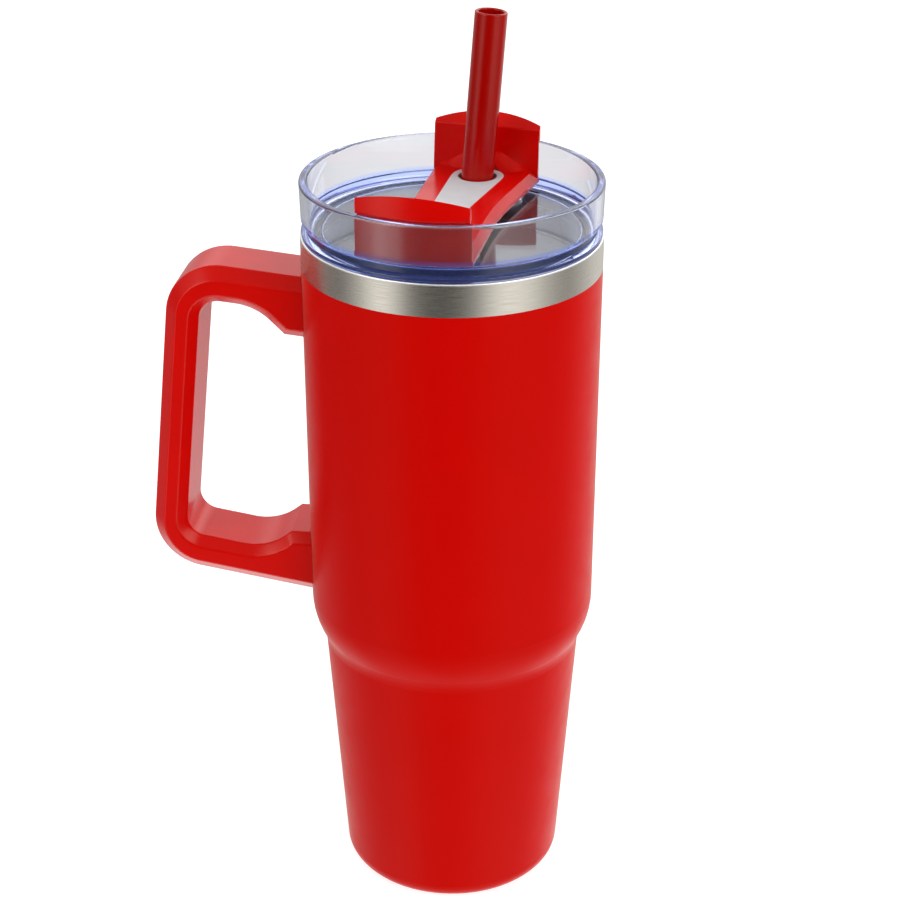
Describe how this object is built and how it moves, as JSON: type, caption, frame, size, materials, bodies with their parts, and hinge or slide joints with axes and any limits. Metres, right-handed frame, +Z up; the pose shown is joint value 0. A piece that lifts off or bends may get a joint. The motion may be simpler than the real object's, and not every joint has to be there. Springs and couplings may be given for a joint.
{
  "type": "insulated travel mug",
  "caption": "Vacuum-insulated travel mug with a side handle, a clear lift-off lid, a turning cover over its drinking opening, and a straw.",
  "frame": {"origin": "centre of the flat face the mug rests on, on the cup's axis", "axes": "+Z up along the cup's axis, handle along -X"},
  "size_m": [0.1537, 0.1, 0.3077],
  "materials": {
    "red_coat": "fine satin powder coat",
    "stainless_steel": "brushed",
    "liner_steel": "electropolished",
    "copper": "bright copper foil",
    "seal_glass": "fused bead",
    "getter_alloy": "sintered",
    "base_rubber": "matt",
    "handle_plastic": "semi-gloss moulded",
    "screw_steel": "plated",
    "clear_plastic": "clear",
    "gasket_silicone": "translucent silicone",
    "cover_plastic": "glossy moulded",
    "grey_silicone": "smooth silicone",
    "clip_plastic": "moulded acetal",
    "straw_plastic": "smooth extruded"
  },
  "bodies": {
    "cup": {"outer_shell": "stainless_steel", "powder_coat": "red_coat", "inner_liner": "liner_steel", "copper_foil": "copper", "getter": "getter_alloy", "outer_base": "stainless_steel", "vacuum_seal": "seal_glass", "base_pad": "base_rubber", "upper_handle_bracket": "stainless_steel", "lower_handle_bracket": "stainless_steel", "handle": "handle_plastic", "handle_screws": "screw_steel"},
    "lid": {"lid_body": "clear_plastic", "lid_gasket": "gasket_silicone"},
    "cover": {"cover": "cover_plastic", "straw_seal": "grey_silicone", "closure_pad": "grey_silicone", "pivot_washer": "gasket_silicone", "pivot_clip": "clip_plastic"},
    "straw": {"straw": "straw_plastic"}
  },
  "joints": [
    {"name": "lid_lift", "type": "slide", "parent": "cup", "child": "lid", "axis": [0, 0, 1], "range_m": [0, 0.25]},
    {"name": "cover_turn", "type": "hinge", "parent": "lid", "child": "cover", "pos_m": [0, 0, 0.2451], "axis": [0, 0, -1], "range_deg": [-18, 18]},
    {"name": "straw_pull", "type": "slide", "parent": "cover", "child": "straw", "axis": [0.0744, 0.0186, 0.9971], "range_m": [0, 0.25]}
  ]
}
